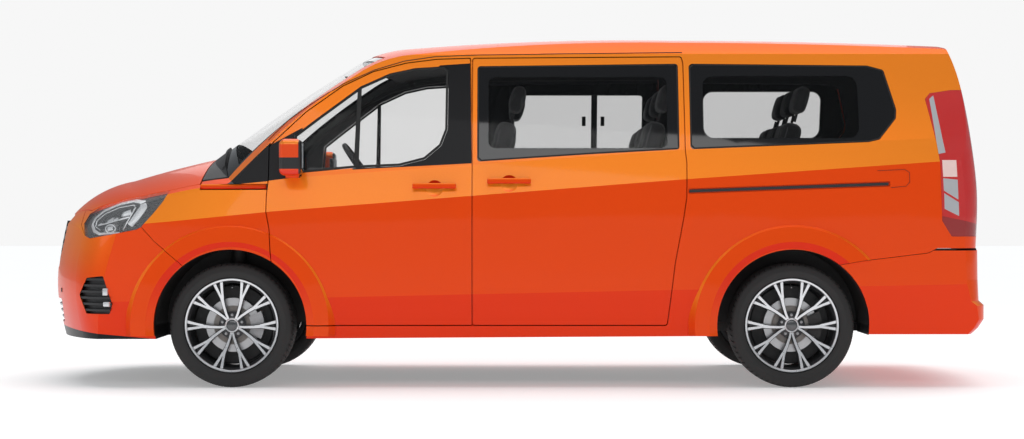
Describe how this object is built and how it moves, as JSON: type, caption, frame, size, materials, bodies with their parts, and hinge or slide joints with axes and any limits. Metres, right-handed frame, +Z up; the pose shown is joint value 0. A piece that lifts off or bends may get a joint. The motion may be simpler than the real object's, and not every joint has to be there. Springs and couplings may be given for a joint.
{
  "type": "minibus",
  "caption": "Long low-roof passenger minibus with front doors, sliding side doors, a tailgate, rows of seats and steered front wheels.",
  "frame": {"origin": "on the ground, midway along the length and the width", "axes": "-X towards the nose, +Y towards the vehicle's right side, +Z up"},
  "size_m": [5.3902, 2.276, 1.9759],
  "materials": {
    "body_paint": "gloss metallic",
    "black_trim": "satin",
    "grille_black": "gloss",
    "window_glass": "tinted",
    "screen_glass": "clear",
    "lamp_clear": "clear",
    "lamp_red": "gloss",
    "tyre_rubber": "matt",
    "alloy": "machined",
    "brake_steel": "turned",
    "chassis_black": "satin",
    "suspension_steel": "satin",
    "seat_cloth": "woven",
    "cabin_plastic": "grained",
    "exhaust_steel": "satin",
    "engine_metal": "cast",
    "seal_rubber": "matt"
  },
  "bodies": {
    "body_shell": {"cowl_panel": "black_trim", "dashboard": "cabin_plastic", "door_rails": "black_trim", "door_seals": "seal_rubber", "engine_block": "engine_metal", "exhaust": "exhaust_steel", "fog_lamps": "black_trim", "front_bumper": "body_paint", "front_seats": "seat_cloth", "front_structure": "chassis_black", "front_suspension": "suspension_steel", "front_wings": "body_paint", "fuel_tank": "cabin_plastic", "grille": "grille_black", "headlamp_lenses": "lamp_clear", "headlamps": "grille_black", "middle_seats": "seat_cloth", "radiator": "engine_metal", "rear_axle": "suspension_steel", "rear_bumper": "body_paint", "rear_seats": "seat_cloth", "rear_wheelhouses": "chassis_black", "roof_panel": "body_paint", "seat_frames": "suspension_steel", "side_panel_left": "body_paint", "side_panel_right": "body_paint", "side_windows": "window_glass", "sliding_door_left": "body_paint", "sliding_door_right": "body_paint", "sliding_handles": "body_paint", "tail_lamps": "lamp_red", "underbody": "chassis_black", "windscreen": "screen_glass", "wipers": "black_trim"},
    "front_door_left": {"front_door_left": "body_paint", "door_glass_left": "window_glass", "mirror_left": "black_trim", "door_handle_left": "body_paint"},
    "front_door_right": {"front_door_right": "body_paint", "door_glass_right": "window_glass", "mirror_right": "black_trim", "door_handle_right": "body_paint"},
    "bonnet": {"bonnet": "body_paint"},
    "tailgate": {"tailgate": "body_paint", "tailgate_glass": "window_glass"},
    "steering_wheel": {"steering_wheel": "cabin_plastic"},
    "knuckle_left": {"knuckle_left": "suspension_steel"},
    "knuckle_right": {"knuckle_right": "suspension_steel"},
    "front_left_wheel": {"front_left_tyre": "tyre_rubber", "front_left_rim": "alloy", "front_left_brake_disc": "brake_steel"},
    "front_right_wheel": {"front_right_tyre": "tyre_rubber", "front_right_rim": "alloy", "front_right_brake_disc": "brake_steel"},
    "rear_left_wheel": {"rear_left_tyre": "tyre_rubber", "rear_left_rim": "alloy", "rear_left_brake_disc": "brake_steel"},
    "rear_right_wheel": {"rear_right_tyre": "tyre_rubber", "rear_right_rim": "alloy", "rear_right_brake_disc": "brake_steel"}
  },
  "joints": [
    {"name": "front_door_left_hinge", "type": "hinge", "parent": "body_shell", "child": "front_door_left", "pos_m": [-1.375, -1.004, 1], "axis": [0, 0, -1], "range_deg": [0, 65]},
    {"name": "front_door_right_hinge", "type": "hinge", "parent": "body_shell", "child": "front_door_right", "pos_m": [-1.375, 1.004, 1], "axis": [0, 0, 1], "range_deg": [0, 65]},
    {"name": "bonnet_hinge", "type": "hinge", "parent": "body_shell", "child": "bonnet", "pos_m": [-1.75, 0, 1.3], "axis": [0, 1, 0], "range_deg": [0, 50]},
    {"name": "tailgate_hinge", "type": "hinge", "parent": "body_shell", "child": "tailgate", "pos_m": [2.396, 0, 1.95], "axis": [0, -1, 0], "range_deg": [0, 85]},
    {"name": "steer_left", "type": "hinge", "parent": "body_shell", "child": "knuckle_left", "pos_m": [-1.571, -0.815, 0.345], "axis": [0, 0, 1], "range_deg": [-32, 32]},
    {"name": "steer_right", "type": "hinge", "parent": "body_shell", "child": "knuckle_right", "pos_m": [-1.571, 0.815, 0.345], "axis": [0, 0, 1], "range_deg": [-32, 32]},
    {"name": "steering_wheel_turn", "type": "hinge", "parent": "body_shell", "child": "steering_wheel", "pos_m": [-0.872, -0.455, 1.2], "axis": [0.8192, 0, 0.5736], "range_deg": [-512, 512]},
    {"name": "front_left_wheel_spin", "type": "hinge", "parent": "knuckle_left", "child": "front_left_wheel", "pos_m": [-1.571, -0.815, 0.345], "axis": [0, 1, 0], "continuous": true},
    {"name": "front_right_wheel_spin", "type": "hinge", "parent": "knuckle_right", "child": "front_right_wheel", "pos_m": [-1.571, 0.815, 0.345], "axis": [0, 1, 0], "continuous": true},
    {"name": "rear_left_wheel_spin", "type": "hinge", "parent": "body_shell", "child": "rear_left_wheel", "pos_m": [1.53, -0.815, 0.345], "axis": [0, 1, 0], "continuous": true},
    {"name": "rear_right_wheel_spin", "type": "hinge", "parent": "body_shell", "child": "rear_right_wheel", "pos_m": [1.53, 0.815, 0.345], "axis": [0, 1, 0], "continuous": true}
  ],
  "couplings": [
    {"joint": "steer_right", "follows": "steer_left", "ratio": 1},
    {"joint": "steering_wheel_turn", "follows": "steer_left", "ratio": 16}
  ]
}
